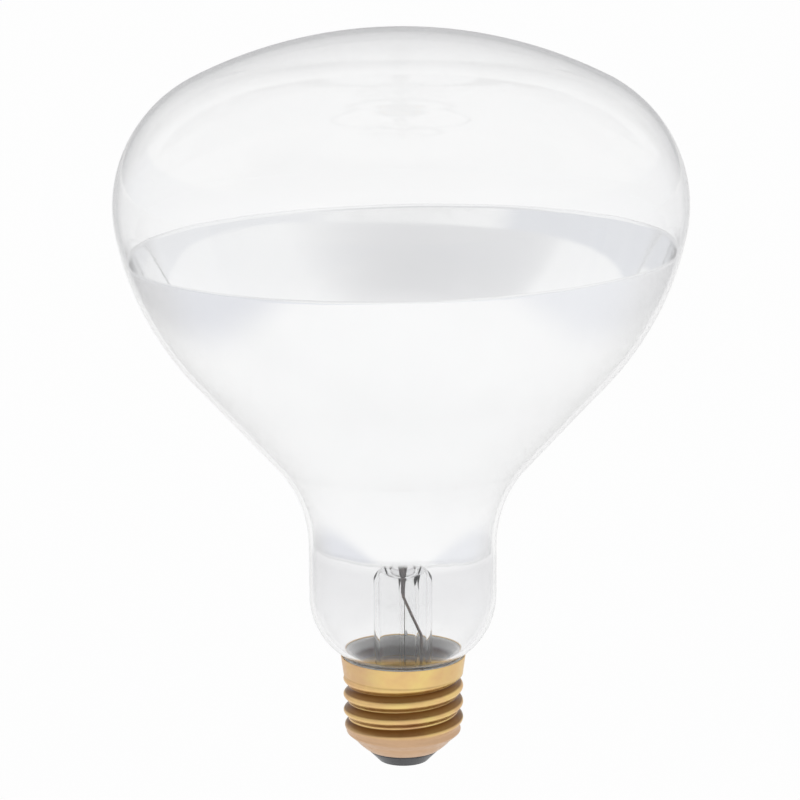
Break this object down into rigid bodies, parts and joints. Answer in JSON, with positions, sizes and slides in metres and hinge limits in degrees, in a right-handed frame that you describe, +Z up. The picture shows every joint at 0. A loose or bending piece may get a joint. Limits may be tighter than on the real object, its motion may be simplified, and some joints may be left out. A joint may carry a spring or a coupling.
{
  "type": "incandescent light bulb",
  "caption": "Reflector lamp: a blown bulb with a clear dome and mirror-coated cone on a narrow neck, its stem and ring filament inside, and a rolled brass screw base.",
  "frame": {"origin": "middle of the underside of the centre contact's solder, the lowest point of the lamp", "axes": "+Z up along the lamp's axis, from the screw base to the dome; -Y is the front that the picture shows"},
  "size_m": [0.124, 0.124, 0.1635],
  "materials": {
    "clear_glass": "clear, polished",
    "stem_glass": "clear, fire-polished",
    "mirror_coat": "bright evaporated film",
    "shell_brass": "bright, rolled",
    "black_glass": "dark, moulded",
    "solder": "dull tin",
    "cement": "matt, baked",
    "copper_wire": "drawn",
    "seal_wire": "oxidised",
    "nickel_wire": "plated",
    "tungsten": "coiled",
    "molybdenum": "drawn"
  },
  "bodies": {
    "root": {"glass_envelope": "clear_glass", "glass_stem": "stem_glass", "exhaust_tube": "stem_glass", "support_arbor": "stem_glass", "reflector_coating": "mirror_coat", "base_shell": "shell_brass", "contact_eyelet": "shell_brass", "base_insulator": "black_glass", "contact_solder": "solder", "side_solder": "solder", "basing_cement": "cement", "outer_lead_contact": "copper_wire", "outer_lead_shell": "copper_wire", "seal_wire_front": "seal_wire", "seal_wire_back": "seal_wire", "inner_lead_front": "nickel_wire", "inner_lead_back": "nickel_wire", "filament": "tungsten", "filament_support_1": "molybdenum", "filament_support_2": "molybdenum", "filament_support_3": "molybdenum", "filament_support_4": "molybdenum", "filament_support_5": "molybdenum"}
  },
  "joints": []
}
